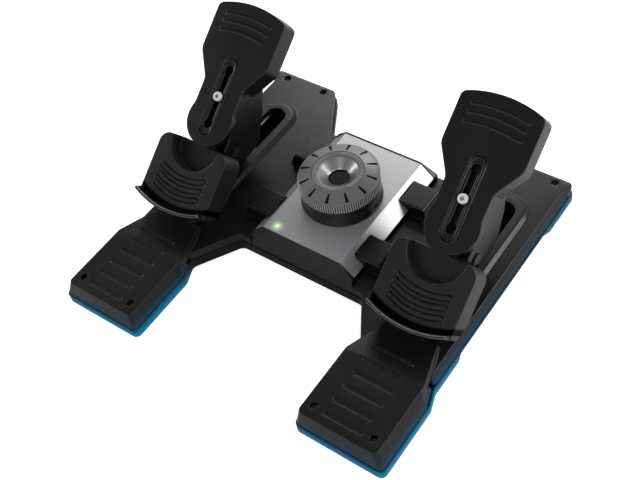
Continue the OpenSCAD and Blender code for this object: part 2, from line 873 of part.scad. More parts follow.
module rod_bushes() {
    y0 = pedal_y - block_l / 2;
    color(bronze) rod_places() for (y = [y0, y0 + block_l - rod_bush_l])
        translate([0, y, 0]) rotate([-90, 0, 0]) tube(rod_bush_r, rod_r + fit, rod_bush_l);
}

module drive_pin() {
    color(steel) translate([pedal_x, pedal_y, bar_z + gap]) cylinder(r = pin_r, h = block_z1 - bar_z - 3 * cut);
}

// Heel cup

module cup_outline(extra) {
    intersection() {
        offset(r = cup_corner_r, $fn = 48) offset(delta = -cup_corner_r)
            translate([-cup_half_w, -2 * cup_arc_r]) square([2 * cup_half_w, 2 * cup_arc_r + cup_top]);
        translate([0, cup_arc_v]) circle(cup_arc_r + extra, $fn = 160);
    }
}

module cup_lip() {
    r0 = cup_arc_r;
    r1 = r0 + lip_in + lip_t - gap;
    reach = asin((cup_half_w - gap) / r1);
    translate([0, cup_arc_v, 0]) rotate([0, 0, -90 - reach]) rotate_extrude(angle = 2 * reach, $fn = 160)
        polygon(concat([[r0 - cut, cup_m - cut], [r0, cup_m]],
            [for (a = [15 : 15 : 75]) [r0 + lip_in * sin(a), cup_m + (lip_h - lip_round) * (1 - cos(a))]],
            [[r0 + lip_in, cup_m + lip_h - lip_round], [r0 + lip_in + lip_round, cup_m + lip_h],
                [r1 - lip_round, cup_m + lip_h], [r1, cup_m + lip_h - lip_round], [r1, cup_m - cut]]));
}

module loop_shape(grow) {
    reach = asin(loop_half / loop_r);
    half = loop_w / 2 + grow;
    ring_sector(loop_r - half, loop_r + half, reach);
    for (side = [-1, 1]) rotate(side * reach) translate([0, -loop_r]) circle(half - fit, $fn = 32);
}

module cup_body() {
    floor_m = cup_m - pocket_deep;
    back = cup_half_w - wall;
    difference() {
        union() {
            translate([0, 0, cup_m - cup_deep]) linear_extrude(cup_deep) cup_outline(lip_in + lip_t);
            cup_lip();
        }
        difference() {
            translate([0, 0, cup_m - 2 * cup_deep]) linear_extrude(2 * cup_deep - cup_face_t)
                offset(delta = -wall) cup_outline(lip_in);
            translate([0, pocket_v, floor_m - cup_face_t]) cylinder(r = pocket_r + wall, h = cup_deep);
            for (side = [-1, 1]) translate([side * cup_post_x, cup_post_v, floor_m - cup_face_t])
                cylinder(r = cup_post_r, h = cup_deep);
        }
        translate([0, pocket_v, floor_m]) cylinder(r = pocket_r, h = cup_deep, $fn = 96);
        for (v = loop_vs) translate([0, v + loop_r, cup_m - loop_deep]) linear_extrude(cut + loop_deep)
            difference() {
                loop_shape(loop_line / 2);
                loop_shape(-loop_line / 2);
            }
        translate([-column_half_w - gap, cup_top - 2 * wall, cup_m - 2 * cup_deep])
            cube([2 * (column_half_w + gap), 3 * wall, 2 * cup_deep - pocket_deep - cup_face_t - gap / 2]);
        for (side = [-1, 1]) translate([side * cup_post_x, cup_post_v, floor_m - cup_face_t - cut])
            cylinder(r = screw_r + fit, h = pocket_deep - cut);
    }
}

module heel_cup() {
    color(black) difference() {
        on_pedal() cup_body();
        translate([0, -overall_d / 2, 0]) cube([overall_w, overall_d, cup_clear_z]);
    }
}

module cup_screws() {
    m1 = cup_m - pocket_deep - cup_face_t - gap;
    color(dark) on_pedal() for (side = [-1, 1]) translate([side * cup_post_x, cup_post_v, m1 - shelf_t]) {
        translate([0, 0, -screw_head_h - fit]) cylinder(r = screw_head_r, h = screw_head_h);
        translate([0, 0, -screw_head_h]) cylinder(r = screw_r, h = pocket_deep);
    }
}

// Toe lever, brake pin and clamp

module lever_outline() {
    top = -neck_t - gap;
    polygon(concat([[lever_front, top - 3 * lever_wall], [lever_low - 2 * lever_wall, top - 5 * lever_wall / 2],
        [lever_low, top], [lever_high, top]], lever_far, lever_near));
}

module across(width) rotate([90, 0, 90]) translate([0, 0, -width / 2]) linear_extrude(width) children();

module toe_lever() {
    top = -neck_t - gap;
    wide = 2 * lever_half_w;
    color(black) on_pedal() difference() {
        union() {
            for (side = [-1, 1]) translate([side * (lever_half_w - lever_wall / 2), 0, 0])
                across(lever_wall) lever_outline();
            translate([-lever_half_w, lever_low, top - lever_wall])
                cube([wide, lever_high - lever_low, lever_wall]);
            translate([-tongue_half_w, lever_low, top - lever_wall])
                cube([2 * tongue_half_w, tongue_high - lever_low, lever_wall]);
            across(wide) difference() {
                lever_outline();
                translate([-lever_wall, lever_wall - gap]) lever_outline();
                translate([-pad_top, -pad_top]) square([pad_top + lever_low, 2 * pad_top]);
            }
        }
        translate([0, 0, -pad_deep]) cylinder(r = clamp_r + fit, h = pad_deep);
        translate([0, pivot_v, pivot_m]) rotate([0, 90, 0])
            cylinder(r = pivot_r + fit, h = 4 * lever_half_w, center = true);
    }
}

module brake_pin() {
    half = lever_half_w + gap;
    color(steel) translate([pedal_x, pivot_y, pivot_z]) rotate([0, 90, 0]) {
        cylinder(r = pivot_r, h = 2 * half + 2 * clip_t, center = true);
        for (side = [-1, 1]) translate([0, 0, side * (half + clip_t / 2)])
            cylinder(r = clip_r, h = clip_t, center = true);
    }
}

module brake_spring() {
    color(steel) translate([pedal_x + column_half_w + 2 * brake_wire_r, pivot_y, pivot_z])
        rotate([0, 90, 0]) coil(brake_coil_r, brake_turns, brake_pitch, brake_wire_r);
}

module brake_sensor() {
    color(dark) translate([pedal_x - column_half_w - sensor_t, pivot_y, pivot_z])
        rotate([0, 90, 0]) tube(sensor_r, pivot_r + fit, sensor_t);
}

module clamp_screw() {
    color(silver) on_pedal() difference() {
        union() {
            translate([0, 0, gap]) cylinder(r1 = clamp_head_r, r2 = clamp_head_r - cut / 2, h = clamp_head_h);
            translate([0, 0, -neck_t - 3 * lever_wall]) cylinder(r = clamp_r, h = neck_t + 3 * lever_wall + cut);
        }
        translate([0, 0, clamp_head_h / 2]) cylinder(r = clamp_r, h = clamp_head_h, $fn = 6);
    }
}

module clamp_nut() {
    color(steel) on_pedal() translate([0, 0, -neck_t - gap - lever_wall - fit - clamp_nut_h]) difference() {
        cylinder(r = clamp_nut_r, h = clamp_nut_h, $fn = 6);
        translate([0, 0, -cut]) cylinder(r = clamp_r + fit, h = clamp_nut_h + 2 * cut);
    }
}

// Toe plate

// Neck, nose and sides of the plate, running on past its top edge
module neck_outline() {
    offset(r = -neck_blend_r, $fn = 64) offset(delta = neck_blend_r)
        offset(r = neck_blend_r, $fn = 64) offset(delta = -neck_blend_r) {
            polygon([[-neck_half_w, neck_top], [neck_half_w, neck_top], [pad_half_w, pad_low],
                [pad_half_w, 2 * pad_top], [-pad_half_w, 2 * pad_top], [-pad_half_w, pad_low]]);
            translate([-neck_half_w, nose_v]) square([2 * neck_half_w, neck_top + cut - nose_v]);
            translate([0, nose_v]) circle(nose_r, $fn = 96);
        }
}

module plate_outline() {
    intersection() {
        neck_outline();
        offset(r = pad_corner_r, $fn = 48) offset(delta = -pad_corner_r) intersection() {
            translate([-pad_half_w, -pad_top]) square([2 * pad_half_w, 2 * pad_top]);
            translate([0, pad_top - pad_arc_r]) circle(pad_arc_r, $fn = 160);
        }
    }
}

module plate_ribs() {
    reach = asin(rib_half / rib_arc_r);
    for (v = rib_vs) translate([0, v - rib_arc_r, 0]) rotate(90 - reach)
        rotate_extrude(angle = 2 * reach, $fn = 160) polygon([[rib_arc_r - rib_w / 2, -cut],
            [rib_arc_r - rib_w / 2, 0], [rib_arc_r - rib_w / 4, rib_h], [rib_arc_r + rib_w / 4, rib_h],
            [rib_arc_r + rib_w / 2, 0], [rib_arc_r + rib_w / 2, -cut]]);
}

module toe_plate() {
    opening = lever_half_w + 3 * gap;
    color(black) on_pedal() difference() {
        union() {
            translate([0, 0, -neck_t]) linear_extrude(neck_t) plate_outline();
            translate([0, 0, -pad_deep]) linear_extrude(pad_deep) intersection() {
                plate_outline();
                translate([-pad_half_w, neck_top]) square([2 * pad_half_w, pad_top]);
            }
            plate_ribs();
            linear_extrude(plate_rim_h) difference() {
                stadium(plate_rim_r, 2 * (plate_slot_half + plate_rim_r + plate_slot_r));
                stadium(plate_rim_r - plate_rim_w, 2 * (plate_slot_half + plate_rim_r + plate_slot_r - plate_rim_w));
            }
        }
        translate([0, 0, -pad_deep - cut]) linear_extrude(pad_deep + cut - pad_wall) intersection() {
            offset(delta = -pad_wall) plate_outline();
            translate([-pad_half_w, neck_top + neck_t + pad_wall]) square([2 * pad_half_w, pad_top]);
        }
        translate([-opening, -pad_top, -2 * pad_deep]) cube([2 * opening, pad_top + pad_low, 2 * pad_deep - neck_t]);
        translate([0, 0, -neck_t - cut]) linear_extrude(neck_t + 2 * cut) {
            square([plate_slot_w, 2 * plate_slot_half], center = true);
            for (end = [-1, 1]) translate([0, end * plate_slot_half]) circle(plate_slot_r);
        }
    }
}

// Dial

module dial_skirt() {
    z = dial_z;
    color(dark) translate([0, pedal_y, 0]) rotate_extrude($fn = 128) polygon([[spindle_r, z + 2 * gap],
        [3 * spindle_r, z + 2 * gap], [3 * spindle_r, ring_z - 2 * wall], [skirt_top_r - wall, ring_z - 2 * wall],
        [skirt_base_r - wall, z], [skirt_base_r, z], [skirt_base_r, z + wall], [skirt_top_r, z + 3 * wall],
        [skirt_top_r, ring_z], [spindle_r, ring_z]]);
}

module knurled_circle() {
    polygon([for (i = [0 : 2 * knurl_count - 1])
        let (r = i % 2 == 0 ? dial_r - 2 * fit : dial_r - knurl_deep, a = 180 * i / knurl_count)
        [r * cos(a), r * sin(a)]]);
}

// Height of the ring's conical face at a given radius
function face_z(r) = dial_top + face_rise * (dial_r - cut - r) / (dial_r - cut - face_in_r);

module dial_ring() {
    seat = dial_r - 2 * knurl_deep;
    color(silver) translate([0, pedal_y, 0]) difference() {
        union() {
            translate([0, 0, ring_z]) linear_extrude(ring_h - cut) knurled_circle();
            rotate_extrude($fn = 128) polygon([[face_in_r / 2, ring_z + cut], [seat, ring_z + cut],
                [seat, dial_top - cut - fit], [dial_r, dial_top - cut - fit], [dial_r - cut, dial_top],
                [face_in_r, face_top], [face_in_r / 2, face_top]]);
        }
        translate([0, 0, ring_z - cut]) cylinder(r = face_in_r, h = 2 * ring_h);
        // Wedge-shaped marks whose floors follow the slope of the face
        intersection() {
            for (i = [0 : tick_count - 1]) rotate(tick_turn + 360 * i / tick_count)
                translate([0, 0, ring_z]) linear_extrude(2 * ring_h)
                    polygon([[tick_in_r, -tick_w_in / 2], [tick_out_r, -tick_w_out / 2],
                        [tick_out_r, tick_w_out / 2], [tick_in_r, tick_w_in / 2]]);
            rotate_extrude($fn = 128) polygon([[face_in_r / 2, face_z(face_in_r / 2) - tick_deep],
                [2 * dial_r, face_z(2 * dial_r) - tick_deep], [2 * dial_r, 2 * dial_top],
                [face_in_r / 2, 2 * dial_top]]);
        }
    }
}

// Spun insert: a flat crest with four short arcs cut in it, round a polished funnel
module dial_cone() {
    color(silver) translate([0, pedal_y, 0]) difference() {
        rotate_extrude($fn = 96) polygon([[spindle_r + 2 * fit, ring_z + fit], [face_in_r - fit, ring_z + fit],
            [face_in_r - fit, face_top - cut], [face_in_r - cut, face_top], [crest_r + 2 * cut, face_top],
            [crest_r, face_top - cut], [hub_cap_r + cut, funnel_z + cut / 2], [hub_cap_r + fit, funnel_z - cut / 2],
            [hub_cap_r + fit, funnel_z - hub_cap_t - cut], [spindle_r + 2 * fit, funnel_z - hub_cap_t - cut]]);
        for (i = [0 : 3]) rotate(90 * i + 45) translate([0, 0, face_top - cut / 2])
            rotate(-arc_half) rotate_extrude(angle = 2 * arc_half, $fn = 96)
                translate([arc_r, 0]) square([arc_w, 2 * cut]);
    }
}

module dial_cap() {
    color(dark) translate([0, pedal_y, funnel_z - hub_cap_t - cut + fit]) rotate_extrude($fn = 64)
        polygon([[0, 0], [hub_cap_r, 0], [hub_cap_r, hub_cap_t - cut], [hub_cap_r - cut, hub_cap_t],
            [0, hub_cap_t + cut / 2]]);
}

module dial_spindle() {
    color(steel) translate([0, pedal_y, floor_top + post_bore_r])
        cylinder(r = spindle_r, h = funnel_z - hub_cap_t - cut - floor_top - post_bore_r);
}

base_tray();
rubber_feet();
left_of() deck();  // left_deck
deck();  // right_deck
deck_screws();
guide_rods();
centre_frame();
frame_screws();
centre_cover();
front_end_cap();
rear_end_cap();
cable_inlet();
main_board();
led_lens();
pivot_post();
yaw_sensor();
centring_spring();
crossbar();
crossbar_bush();
left_of() carriage();  // left_carriage
carriage();  // right_carriage
left_of() rod_bushes();  // left_rod_bushes
rod_bushes();  // right_rod_bushes
left_of() drive_pin();  // left_drive_pin
drive_pin();  // right_drive_pin
left_of() heel_cup();  // left_heel_cup
heel_cup();  // right_heel_cup
left_of() cup_screws();  // left_cup_screws
cup_screws();  // right_cup_screws
left_of() brake_pin();  // left_brake_pin
brake_pin();  // right_brake_pin
left_of() brake_spring();  // left_brake_spring
brake_spring();  // right_brake_spring
left_of() brake_sensor();  // left_brake_sensor
brake_sensor();  // right_brake_sensor
left_of() toe_lever();  // left_toe_lever
toe_lever();  // right_toe_lever
left_of() clamp_screw();  // left_clamp_screw
clamp_screw();  // right_clamp_screw
left_of() clamp_nut();  // left_clamp_nut
clamp_nut();  // right_clamp_nut
left_of() toe_plate();  // left_toe_plate
toe_plate();  // right_toe_plate
dial_skirt();
dial_ring();
dial_cone();
dial_cap();
dial_spindle();
tension_nut();
tension_washer();
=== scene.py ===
# %% [markdown]
# # Flight simulator rudder pedals
# The object is a pair of sliding foot pedals on a wide black base, with a silver
# housing and a large tension dial between them.  Its mechanics are modelled already,
# so this lesson loads them as a frame and dresses them: rounded mouldings, plastic
# grain, paint, metal, rubber and the small parts that catch the eye.  X runs to the
# user's right, Y away from the user and Z up, all in metres.

# %% Load the mechanical frame
import json
import math

import bmesh
import bpy
from mathutils import Matrix, Vector
from mathutils.bvhtree import BVHTree

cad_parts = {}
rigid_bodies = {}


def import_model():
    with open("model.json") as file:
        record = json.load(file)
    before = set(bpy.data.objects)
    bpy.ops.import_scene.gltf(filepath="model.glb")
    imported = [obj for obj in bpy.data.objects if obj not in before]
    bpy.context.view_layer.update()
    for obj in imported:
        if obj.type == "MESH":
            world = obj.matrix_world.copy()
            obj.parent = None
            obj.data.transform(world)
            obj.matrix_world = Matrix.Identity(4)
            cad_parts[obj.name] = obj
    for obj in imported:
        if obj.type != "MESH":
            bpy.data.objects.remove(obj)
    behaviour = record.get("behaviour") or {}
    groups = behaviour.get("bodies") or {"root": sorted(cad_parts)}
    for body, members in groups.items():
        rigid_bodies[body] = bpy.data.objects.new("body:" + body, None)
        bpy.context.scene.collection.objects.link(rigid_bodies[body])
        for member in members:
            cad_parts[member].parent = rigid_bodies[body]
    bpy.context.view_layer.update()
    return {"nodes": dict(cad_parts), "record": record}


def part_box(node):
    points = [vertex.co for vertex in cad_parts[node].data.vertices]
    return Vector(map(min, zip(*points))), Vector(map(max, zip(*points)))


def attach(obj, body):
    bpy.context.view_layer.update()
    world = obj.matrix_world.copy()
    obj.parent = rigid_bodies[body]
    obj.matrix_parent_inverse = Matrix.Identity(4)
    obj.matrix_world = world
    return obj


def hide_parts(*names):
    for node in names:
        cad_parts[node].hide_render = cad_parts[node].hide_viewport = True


MM = 0.001
SIDES = ("left", "right")
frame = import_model()
nodes = frame["nodes"]

# %% [markdown]
# The picture is taken from the user's right, looking down at about fifty degrees, with
# the camera rolled a little.  A camera could be placed by eye, but its direction, roll
# and lens are known from the object's own corners, so the matrix is built from them.
# Its columns are the picture's right, the picture's up and the way back to the lens.

# %% Camera
sight_point = Vector((-12.6, 10.9, 0.0)) * MM
sight_distance = 1.2351
sight_turn = math.radians(44.93)
sight_height = math.radians(50.32)
sight_roll = math.radians(-12.34)
sensor_mm, focal_mm = 36.0, 59.84

sight_back = Vector((math.sin(sight_turn) * math.cos(sight_height),
                     -math.cos(sight_turn) * math.cos(sight_height),
                     math.sin(sight_height)))
level_right = (-sight_back).cross(Vector((0, 0, 1))).normalized()
level_up = level_right.cross(-sight_back)
picture_right = math.cos(sight_roll) * level_right + math.sin(sight_roll) * level_up
picture_up = -math.sin(sight_roll) * level_right + math.cos(sight_roll) * level_up
sight_axes = Matrix((picture_right, picture_up, sight_back)).transposed().to_4x4()

scene = bpy.context.scene
camera_data = bpy.data.cameras.new("camera")
camera_data.sensor_fit = "HORIZONTAL"
camera_data.sensor_width = sensor_mm
camera_data.lens = focal_mm
camera = bpy.data.objects.new("camera", camera_data)
camera.matrix_world = Matrix.Translation(sight_point + sight_back * sight_distance) @ sight_axes
scene.collection.objects.link(camera)
scene.camera = camera
print("Camera at", [round(v, 3) for v in camera.matrix_world.translation])

# %% [markdown]
# Sky, floor and finishes are all node trees, and most of their nodes are products,
# ramps and mixtures.  Four lines for every node would hide the idea, so these helpers
# read like a formula: each takes numbers or other nodes' outputs and returns an output.
# A Mix node holds the sockets of all its data types, so they are told apart by number.

# %% Helpers for node trees
MIX_NUMBERS_IN, MIX_NUMBER_OUT = (2, 3), 0
MIX_COLOURS_IN, MIX_COLOUR_OUT = (6, 7), 2


def node_math(tree, operation, first, second=None):
    """A math node whose inputs are numbers or other nodes' outputs."""
    made = tree.nodes.new("ShaderNodeMath")
    made.operation = operation
    for place, value in enumerate((first, second)):
        if isinstance(value, (int, float)):
            made.inputs[place].default_value = value
        elif value is not None:
            tree.links.new(value, made.inputs[place])
    return made.outputs[0]


def product(tree, first, *others):
    """All the values multiplied, which for masks means where all of them are 1."""
    for other in others:
        first = node_math(tree, "MULTIPLY", first, other)
    return first


def distance(tree, first, second):
    """Length of the long side of a right angle, from its two legs."""
    squares = node_math(tree, "ADD", product(tree, first, first), product(tree, second, second))
    return node_math(tree, "SQRT", squares)


def ramp(tree, value, start, stop, first, last):
    """Goes smoothly from a first level at start to a last level at stop."""
    made = tree.nodes.new("ShaderNodeMapRange")
    made.interpolation_type = "SMOOTHSTEP"
    made.inputs["From Min"].default_value = start
    made.inputs["From Max"].default_value = stop
    made.inputs["To Min"].default_value = first
    made.inputs["To Max"].default_value = last
    tree.links.new(value, made.inputs["Value"])
    return made.outputs["Result"]


def fade(tree, value, start, stop):
    """Falls smoothly from 1 at start to 0 at stop."""
    return ramp(tree, value, start, stop, 1.0, 0.0)


def mixed(tree, mask, first, second):
    """The first colour where a mask is 0, and the second where it is 1."""
    made = tree.nodes.new("ShaderNodeMix")
    made.data_type = "RGBA"
    tree.links.new(mask, made.inputs[0])
    for place, colour in zip(MIX_COLOURS_IN, (first, second)):
        if isinstance(colour, tuple):
            made.inputs[place].default_value = colour + (1,)
        else:
            tree.links.new(colour, made.inputs[place])
    return made.outputs[MIX_COLOUR_OUT]


def split(tree, place):
    """The X, Y and Z of a place."""
    axes = tree.nodes.new("ShaderNodeSeparateXYZ")
    tree.links.new(place, axes.inputs[0])
    return axes.outputs["X"], axes.outputs["Y"], axes.outputs["Z"]


print("Helpers:", [f.__name__ for f in (node_math, product, distance, ramp, fade, mixed, split)])

# %% [markdown]
# A photographer's white studio is bright all round.  A sky that bright would flood the
# object, so it is only grey where it lights, and white where the camera, gloss or glass
# looks at it.  In gloss it darkens overhead, as a studio's ceiling does: level tops then
# stay black while rounded edges catch white.

# %% Sky
scene.view_settings.view_transform = "Standard"
white, black, sky_grey = (1, 1, 1), (0, 0, 0), (0.42, 0.43, 0.45)
ceiling_from, ceiling_full, ceiling_dark = 0.2, 0.65, 0.72

sky = bpy.data.worlds.new("studio_sky")
scene.world = sky
sky.use_nodes = True
tree = sky.node_tree
tree.nodes.clear()
ray = tree.nodes.new("ShaderNodeLightPath").outputs
way = tree.nodes.new("ShaderNodeTexCoord").outputs["Generated"]
seen = node_math(tree, "MAXIMUM", ray["Is Camera Ray"], ray["Is Glossy Ray"])
seen = node_math(tree, "MAXIMUM", seen, ray["Is Transmission Ray"])
ceiling = ramp(tree, split(tree, way)[2], ceiling_from, ceiling_full, 0.0, ceiling_dark)
ceiling = product(tree, ceiling, ray["Is Glossy Ray"])
seen_sky = mixed(tree, ceiling, white, black)
sky_light = tree.nodes.new("ShaderNodeBackground")
tree.links.new(mixed(tree, seen, sky_grey, seen_sky), sky_light.inputs["Color"])
sky_out = tree.nodes.new("ShaderNodeOutputWorld")
tree.links.new(sky_light.outputs[0], sky_out.inputs["Surface"])
print("Sky nodes:", len(tree.nodes))

# %% [markdown]
# Dark plastic shows its shape by what it mirrors, so soft lamps stand all round it: one
# on the user's right, one behind that for the sloping sides, the strongest over the
# back, one over the user and a low one on the left.  A single strong lamp would be
# simpler, but it leaves half of the walls black and its shadow hard.

# %% Lamps
lamp_aim = Vector((0, 0, 0.05))


def lamp(name, place, watts, width, height):
    """A rectangular studio lamp at a place, turned to face the middle of the object."""
    data = bpy.data.lights.new(name, "AREA")
    data.shape = "RECTANGLE"
    data.size = width
    data.size_y = height
    data.energy = watts
    made = bpy.data.objects.new(name, data)
    made.location = place
    made.rotation_euler = (lamp_aim - Vector(place)).to_track_quat("-Z", "Y").to_euler()
    scene.collection.objects.link(made)


lamp("lamp_right", (1.6, -0.3, 0.75), 6, 1.0, 0.6)
lamp("lamp_slope", (1.2, 0.75, 0.72), 12, 0.7, 0.5)
lamp("lamp_back", (-0.7, 1.45, 1.05), 14, 1.1, 0.5)
lamp("lamp_front", (0.5, -1.5, 1.2), 6, 1.0, 0.6)
lamp("lamp_left", (-1.5, -0.1, 0.55), 6, 0.7, 0.4)

# %% [markdown]
# The floor is one large pale square that keeps the object's shadow.  More light would
# whiten it but also the object, so a glow is added that only the camera sees.

# %% Floor
floor_half = 4.0
floor_grey = (0.8, 0.8, 0.8)
floor_glow = 0.7

floor_mesh = bpy.data.meshes.new("floor")
floor_bm = bmesh.new()
bmesh.ops.create_grid(floor_bm, x_segments=1, y_segments=1, size=floor_half)
floor_bm.to_mesh(floor_mesh)
floor_bm.free()
floor = bpy.data.objects.new("floor", floor_mesh)
scene.collection.objects.link(floor)

floor_paint = bpy.data.materials.new("floor_white")
floor_paint.use_nodes = True
tree = floor_paint.node_tree
tree.nodes.clear()
ray = tree.nodes.new("ShaderNodeLightPath").outputs
floor_shade = tree.nodes.new("ShaderNodeBsdfDiffuse")
floor_shade.inputs["Color"].default_value = floor_grey + (1,)
floor_light = tree.nodes.new("ShaderNodeEmission")
tree.links.new(product(tree, ray["Is Camera Ray"], floor_glow), floor_light.inputs["Strength"])
floor_sum = tree.nodes.new("ShaderNodeAddShader")
tree.links.new(floor_shade.outputs[0], floor_sum.inputs[0])
tree.links.new(floor_light.outputs[0], floor_sum.inputs[1])
floor_out = tree.nodes.new("ShaderNodeOutputMaterial")
tree.links.new(floor_sum.outputs[0], floor_out.inputs["Surface"])
floor_mesh.materials.append(floor_paint)
print("Floor:", 2 * floor_half, "m wide")

# %% [markdown]
# Every finish starts from the same idea: one principled shader, whose constants sit on
# its own sockets, and noise on object coordinates that gives the surface its grain.
# Writing each tree by hand would repeat a dozen links, so one helper makes the tree and
# each finish only states its colour, roughness and grain.  Two noises are used: a fine
# one for the moulding tool's spark-eroded texture, and a wide one for faint clouds in
# colour and roughness.

# %% Helpers for finishes
cloud_scale, cloud_detail, grain_detail = 22.0, 3.0, 2.0
bump_height = 0.1 * MM


def noise(tree, scale, detail):
    """Noise of so many bumps a metre."""
    made = tree.nodes.new("ShaderNodeTexNoise")
    made.inputs["Scale"].default_value = scale
    made.inputs["Detail"].default_value = detail
    tree.links.new(tree.nodes["place"].outputs["Object"], made.inputs["Vector"])
    return made.outputs["Fac"]


def finish(name, colour, roughness, metallic=0.0, grain_mm=0.6, grain_depth=0.25,
           cloud=0.12, specular=0.5, rough_spread=0.06):
    """A material whose fine grain, faint clouding and uneven gloss come from noise."""
    made = bpy.data.materials.new(name)
    made.use_nodes = True
    tree = made.node_tree
    shader = tree.nodes["Principled BSDF"]
    shader.inputs["Metallic"].default_value = metallic
    shader.inputs["Specular IOR Level"].default_value = specular
    tree.nodes.new("ShaderNodeTexCoord").name = "place"
    grain = noise(tree, 1.0 / (grain_mm * MM), grain_detail)
    patches = noise(tree, cloud_scale, cloud_detail)
    darker = tuple(c * (1 - cloud) for c in colour)
    lighter = tuple(min(1.0, c * (1 + cloud)) for c in colour)
    tree.links.new(mixed(tree, patches, darker, lighter), shader.inputs["Base Color"])
    gloss = tree.nodes.new("ShaderNodeMapRange")
    gloss.inputs["To Min"].default_value = roughness - rough_spread
    gloss.inputs["To Max"].default_value = roughness + rough_spread
    tree.links.new(patches, gloss.inputs["Value"])
    tree.links.new(gloss.outputs["Result"], shader.inputs["Roughness"])
    bump = tree.nodes.new("ShaderNodeBump")
    bump.inputs["Strength"].default_value = grain_depth
    bump.inputs["Distance"].default_value = bump_height
    tree.links.new(grain, bump.inputs["Height"])
    tree.links.new(bump.outputs["Normal"], shader.inputs["Normal"])
    return made


def both(*parts):
    """Names of the nodes that the left and the right side each have."""
    return [side + "_" + part for side in SIDES for part in parts]


def paint(material, *names):
    """Gives CAD nodes a material in place of the one they came with."""
    for name in names:
        piece = bpy.data.objects[name]
        piece.data.materials.clear()
        piece.data.materials.append(material)


print("Helpers:", [f.__name__ for f in (noise, finish, both, paint)])

# %% [markdown]
# The mouldings are black glass-filled plastic with a satin, lightly sparked surface.
# Black isn't zero: the base colour is under one percent, and most of what the eye sees
# is the weak mirror on top, so the specular level decides how grey the sides look.  The
# feet are matt rubber, and the hidden bushes and post are undyed nylon.

# %% Plastics and rubber
satin_black = finish("satin_black_plastic", (0.0045, 0.0045, 0.0048), 0.32,
                     specular=0.34, grain_mm=0.5)
grip_black = finish("grip_black_plastic", (0.0085, 0.0085, 0.0088), 0.4,
                    specular=0.32, grain_mm=0.7, grain_depth=0.45)
deck_black = finish("deck_black_plastic", (0.0048, 0.0048, 0.0052), 0.34,
                    specular=0.28, grain_mm=0.45, grain_depth=0.35)
tray_black = finish("tray_black_plastic", (0.006, 0.0075, 0.009), 0.45,
                    specular=0.12, grain_mm=0.45, grain_depth=0.35)
deep_black = finish("deep_black_plastic", (0.004, 0.004, 0.0045), 0.55, specular=0.16)
skirt_black = finish("glossy_black_plastic", (0.005, 0.005, 0.0052), 0.2,
                     specular=0.45, grain_depth=0.05)
nylon = finish("natural_nylon", (0.62, 0.58, 0.48), 0.45, grain_depth=0.1)
rubber = finish("foot_rubber", (0.012, 0.012, 0.012), 0.75,
                specular=0.25, grain_mm=0.9, grain_depth=0.5)
board_green = finish("board_green", (0.01, 0.10, 0.035), 0.3, grain_mm=1.2, grain_depth=0.2)

paint(satin_black, "front_end_cap", "rear_end_cap", *both("toe_lever", "toe_plate", "carriage"))
paint(grip_black, *both("heel_cup"))
paint(deck_black, *both("deck"))
paint(tray_black, "base_tray")
paint(deep_black, "dial_cap", "centre_frame", "cable_inlet", "yaw_sensor", *both("brake_sensor"))
paint(skirt_black, "dial_skirt")
paint(nylon, "pivot_post", *both("rod_bushes"))
paint(rubber, "rubber_feet")
paint(board_green, "main_board")
print("Deck now wears", nodes["left_deck"].data.materials[0].name)

# %% [markdown]
# Screws, rods and pins differ mostly in brightness.  A metal's base colour is what it
# mirrors, so bright zinc is pale, an oiled rod is nearly black and bronze is brown.  The
# clamp screws are only partly metallic, because a full mirror that small would turn
# dark wherever it happens to face the dark plastic.

# %% Metals
zinc = finish("zinc_plated_screw", (0.82, 0.82, 0.83), 0.3,
              metallic=0.3, grain_depth=0.08, cloud=0.04)
dark_zinc = finish("dark_zinc_screw", (0.16, 0.16, 0.165), 0.34, metallic=0.8, grain_depth=0.1)
bright_steel = finish("bright_steel", (0.66, 0.66, 0.67), 0.28,
                      metallic=1.0, grain_depth=0.08, cloud=0.04)
ground_steel = finish("oiled_ground_rod", (0.09, 0.09, 0.092), 0.32,
                      metallic=0.9, grain_depth=0.05)
spring_steel = finish("spring_steel", (0.42, 0.42, 0.44), 0.3, metallic=1.0, grain_depth=0.1)
black_steel = finish("black_steel", (0.02, 0.02, 0.021), 0.36, metallic=0.5, grain_depth=0.1)
bronze = finish("sintered_bronze", (0.42, 0.27, 0.12), 0.4, metallic=0.9, grain_mm=0.3)

paint(zinc, *both("clamp_screw"))
paint(dark_zinc, "deck_screws", "frame_screws")
paint(bright_steel, "dial_spindle", "tension_washer", *both("drive_pin", "clamp_nut"))
paint(ground_steel, "guide_rods")
paint(spring_steel, "centring_spring")
paint(black_steel, "crossbar", *both("brake_pin", "brake_spring", "cup_screws"))
paint(bronze, "crossbar_bush", "tension_nut")
print("Rods now wear", nodes["guide_rods"].data.materials[0].name)

# %% [markdown]
# Some finishes change within one piece: a painted blue glow at the foot, ink in the
# dial's marks, painted shade and a painted highlight at a heel cup's lip.  Cutting the
# piece into more meshes would show seams, so a second colour is laid over the first
# wherever a mask is 1, and the mask is worked out from the place.  Metallic can follow a
# mask too.  A metal mirrors only its own colour, so it keeps a painted glow pure and a
# painted shade dark, where plastic would lay a pale sheen over both.

# %% Helpers for two-coloured pieces


def recolour(material, mask, colour, roughness):
    """Lays a second colour and gloss over a finish where a mask is 1."""
    tree = material.node_tree
    base = tree.nodes["Principled BSDF"].inputs["Base Color"]
    gloss = tree.nodes["Principled BSDF"].inputs["Roughness"]
    tree.links.new(mixed(tree, mask, base.links[0].from_socket, colour), base)
    level = tree.nodes.new("ShaderNodeMix")
    under, over = MIX_NUMBERS_IN
    level.inputs[over].default_value = roughness
    tree.links.new(mask, level.inputs[0])
    tree.links.new(gloss.links[0].from_socket, level.inputs[under])
    tree.links.new(level.outputs[MIX_NUMBER_OUT], gloss)


def metal_where(material, share):
    """Lets a mask decide how metallic a finish is."""
    material.node_tree.links.new(
        share, material.node_tree.nodes["Principled BSDF"].inputs["Metallic"])


